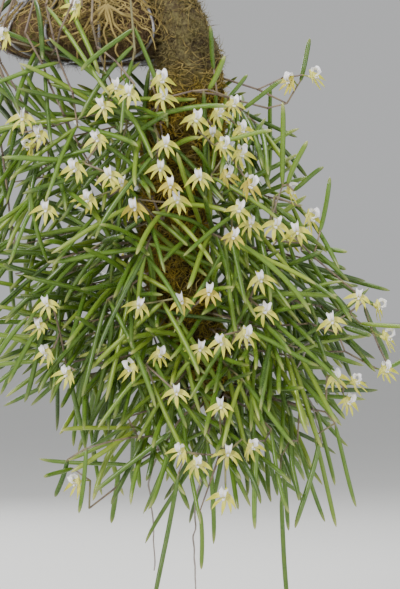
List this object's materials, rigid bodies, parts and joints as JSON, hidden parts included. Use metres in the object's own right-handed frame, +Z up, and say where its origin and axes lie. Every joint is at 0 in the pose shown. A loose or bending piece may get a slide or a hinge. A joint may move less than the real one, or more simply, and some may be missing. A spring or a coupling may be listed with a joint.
{
  "type": "dendrobium striolatum in basket",
  "caption": "Hanging clump of streaked rock orchid: pencil-shaped leaves on kinked wiry stems and small cream flowers, hanging over and below a round mossy wire basket.",
  "frame": {"origin": "the top of the hanging ring's inside, where the ring bears on its hook", "axes": "+X to the right and +Y away from the viewer as the plant is seen in the picture, +Z up"},
  "size_m": [0.3591, 0.2293, 0.7221],
  "materials": {
    "galvanised_wire": "dull galvanised",
    "coir_fibre": "matted fibre",
    "moss": "matt",
    "old_root": "matt",
    "aerial_root": "matt",
    "leaf": "smooth, softly glossy",
    "petal": "satin"
  },
  "bodies": {
    "root": {"hanging_ring": "galvanised_wire", "hanger_wire_1": "galvanised_wire", "hanger_wire_2": "galvanised_wire", "hanger_wire_3": "galvanised_wire", "wire_frame": "galvanised_wire", "fibre_liner": "coir_fibre", "moss_mound": "moss", "moss_core": "moss", "crown_roots": "old_root", "aerial_roots": "aerial_root", "leafy_stem_1": "leaf", "leafy_stem_2": "leaf", "leafy_stem_3": "leaf", "leafy_stem_4": "leaf", "leafy_stem_5": "leaf", "leafy_stem_6": "leaf", "leafy_stem_7": "leaf", "leafy_stem_8": "leaf", "leafy_stem_9": "leaf", "leafy_stem_10": "leaf", "leafy_stem_11": "leaf", "leafy_stem_12": "leaf", "leafy_stem_13": "leaf", "leafy_stem_14": "leaf", "leafy_stem_15": "leaf", "leafy_stem_16": "leaf", "leafy_stem_17": "leaf", "leafy_stem_18": "leaf", "leafy_stem_19": "leaf", "leafy_stem_20": "leaf", "leafy_stem_21": "leaf", "leafy_stem_22": "leaf", "leafy_stem_23": "leaf", "leafy_stem_24": "leaf", "leafy_stem_25": "leaf", "leafy_stem_26": "leaf", "leafy_stem_27": "leaf", "leafy_stem_28": "leaf", "leafy_stem_29": "leaf", "flower_spray_1": "petal", "flower_spray_2": "petal", "flower_spray_3": "petal", "flower_spray_4": "petal", "flower_spray_5": "petal", "flower_spray_6": "petal", "flower_spray_7": "petal", "flower_spray_8": "petal", "flower_spray_9": "petal", "flower_spray_10": "petal", "flower_spray_11": "petal", "flower_spray_12": "petal", "flower_spray_13": "petal", "flower_spray_14": "petal", "flower_spray_15": "petal", "flower_spray_16": "petal", "flower_spray_17": "petal", "flower_spray_18": "petal", "flower_spray_19": "petal", "flower_spray_20": "petal", "flower_spray_21": "petal"}
  },
  "joints": []
}
